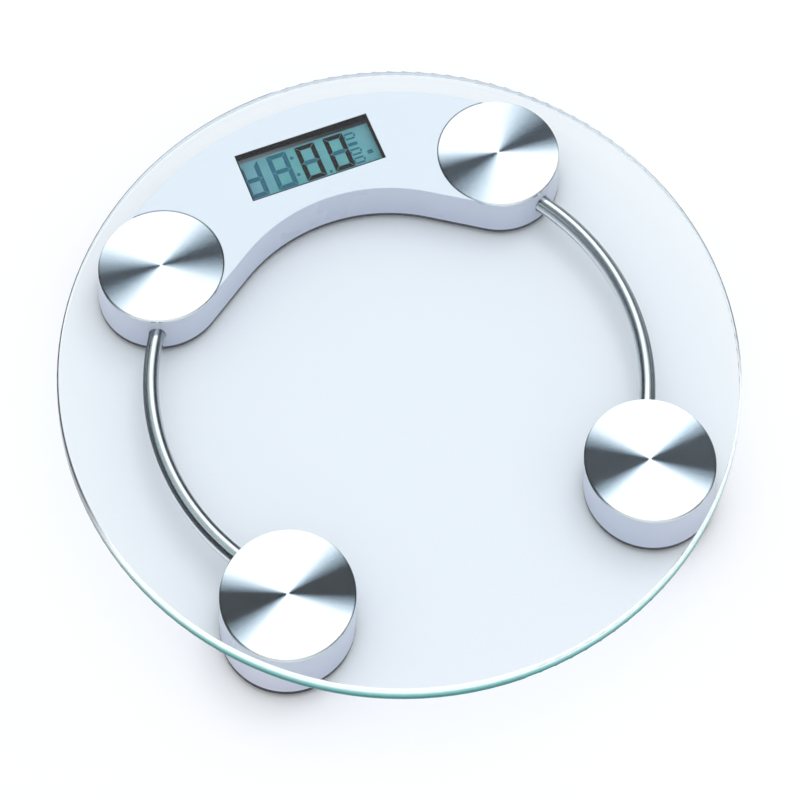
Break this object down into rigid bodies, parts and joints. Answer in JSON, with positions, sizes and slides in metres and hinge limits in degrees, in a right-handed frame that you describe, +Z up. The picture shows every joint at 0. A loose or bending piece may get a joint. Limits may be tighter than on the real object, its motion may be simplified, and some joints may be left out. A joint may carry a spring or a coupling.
{
  "type": "personal scale",
  "caption": "Round clear glass platform scale: crescent display housing and foot pods under the glass, turned steel discs, chromed lead tubes, load-cell feet, coin-cell door.",
  "frame": {"origin": "on the floor under the centre of the round platform", "axes": "+Z up, +Y towards the display, +X to the right of a person facing the display"},
  "size_m": [0.33, 0.33, 0.026],
  "materials": {
    "glass": "polished, clear with a green edge",
    "housing": "satin silver lilac",
    "disc_steel": "turned, radial sheen",
    "chrome": "mirror",
    "carrier": "moulded",
    "cover": "fine texture",
    "foot_plastic": "moulded",
    "pad_rubber": "soft matt",
    "cell_steel": "nickel plated",
    "potting": "silicone",
    "screws": "zinc plated",
    "coin_steel": "bright",
    "contact": "plated",
    "button": "moulded",
    "switch_black": "moulded",
    "board": "solder mask",
    "chip": "epoxy",
    "sensor_can": "plated",
    "lcd": "smooth",
    "zebra": "soft",
    "bezel": "satin black",
    "lead": "sleeved"
  },
  "bodies": {
    "platform": {"base_cover": "cover", "battery_contact_minus": "contact", "battery_contact_plus": "contact", "board_screws": "screws", "cell_bracket_lower_left": "carrier", "cell_bracket_lower_right": "carrier", "cell_bracket_upper_left": "carrier", "cell_bracket_upper_right": "carrier", "chip_blob": "chip", "chrome_tube_left": "chrome", "chrome_tube_right": "chrome", "circuit_board": "board", "coin_cell": "coin_steel", "cover_screws": "screws", "display_housing": "housing", "foot_pod_lower_left": "housing", "foot_pod_lower_right": "housing", "foot_retainer_lower_left": "carrier", "foot_retainer_lower_right": "carrier", "foot_retainer_upper_left": "carrier", "foot_retainer_upper_right": "carrier", "gauge_potting": "potting", "glass_platform": "glass", "lcd_bezel": "bezel", "lcd_panel": "lcd", "load_cell_lower_left": "cell_steel", "load_cell_lower_right": "cell_steel", "load_cell_upper_left": "cell_steel", "load_cell_upper_right": "cell_steel", "pod_screws": "screws", "sensor_lead_lower_left": "lead", "sensor_lead_lower_right": "lead", "sensor_lead_upper_left": "lead", "sensor_lead_upper_right": "lead", "steel_disc_lower_left": "disc_steel", "steel_disc_lower_right": "disc_steel", "steel_disc_upper_left": "disc_steel", "steel_disc_upper_right": "disc_steel", "switch_body": "switch_black", "wake_sensor": "sensor_can", "zebra_strips": "zebra"},
    "foot_assembly_upper_right": {"foot_upper_right": "foot_plastic", "rubber_pad_upper_right": "pad_rubber"},
    "foot_assembly_upper_left": {"foot_upper_left": "foot_plastic", "rubber_pad_upper_left": "pad_rubber"},
    "foot_assembly_lower_right": {"foot_lower_right": "foot_plastic", "rubber_pad_lower_right": "pad_rubber"},
    "foot_assembly_lower_left": {"foot_lower_left": "foot_plastic", "rubber_pad_lower_left": "pad_rubber"},
    "button": {"unit_button": "button"},
    "plunger": {"switch_plunger": "button"},
    "door": {"battery_door": "cover"}
  },
  "joints": [
    {"name": "foot_slide_upper_right", "type": "slide", "parent": "platform", "child": "foot_assembly_upper_right", "axis": [0, 0, 1], "range_m": [-0.00095, 0.0005], "deforming": ["load_cell_upper_right"]},
    {"name": "foot_slide_upper_left", "type": "slide", "parent": "platform", "child": "foot_assembly_upper_left", "axis": [0, 0, 1], "range_m": [-0.00095, 0.0005], "deforming": ["load_cell_upper_left"]},
    {"name": "foot_slide_lower_right", "type": "slide", "parent": "platform", "child": "foot_assembly_lower_right", "axis": [0, 0, 1], "range_m": [-0.00095, 0.0005], "deforming": ["load_cell_lower_right"]},
    {"name": "foot_slide_lower_left", "type": "slide", "parent": "platform", "child": "foot_assembly_lower_left", "axis": [0, 0, 1], "range_m": [-0.00095, 0.0005], "deforming": ["load_cell_lower_left"]},
    {"name": "unit_press", "type": "slide", "parent": "platform", "child": "button", "axis": [0, 0, 1], "range_m": [0, 0.0005]},
    {"name": "switch_press", "type": "slide", "parent": "platform", "child": "plunger", "axis": [0, 0, 1], "range_m": [0, 0.0005]},
    {"name": "battery_door_hinge", "type": "hinge", "parent": "platform", "child": "door", "pos_m": [0.026, 0.1343, 0.0033], "axis": [1, 0, 0], "range_deg": [0, 75]}
  ],
  "couplings": [
    {"joint": "switch_press", "follows": "unit_press", "ratio": 1}
  ]
}
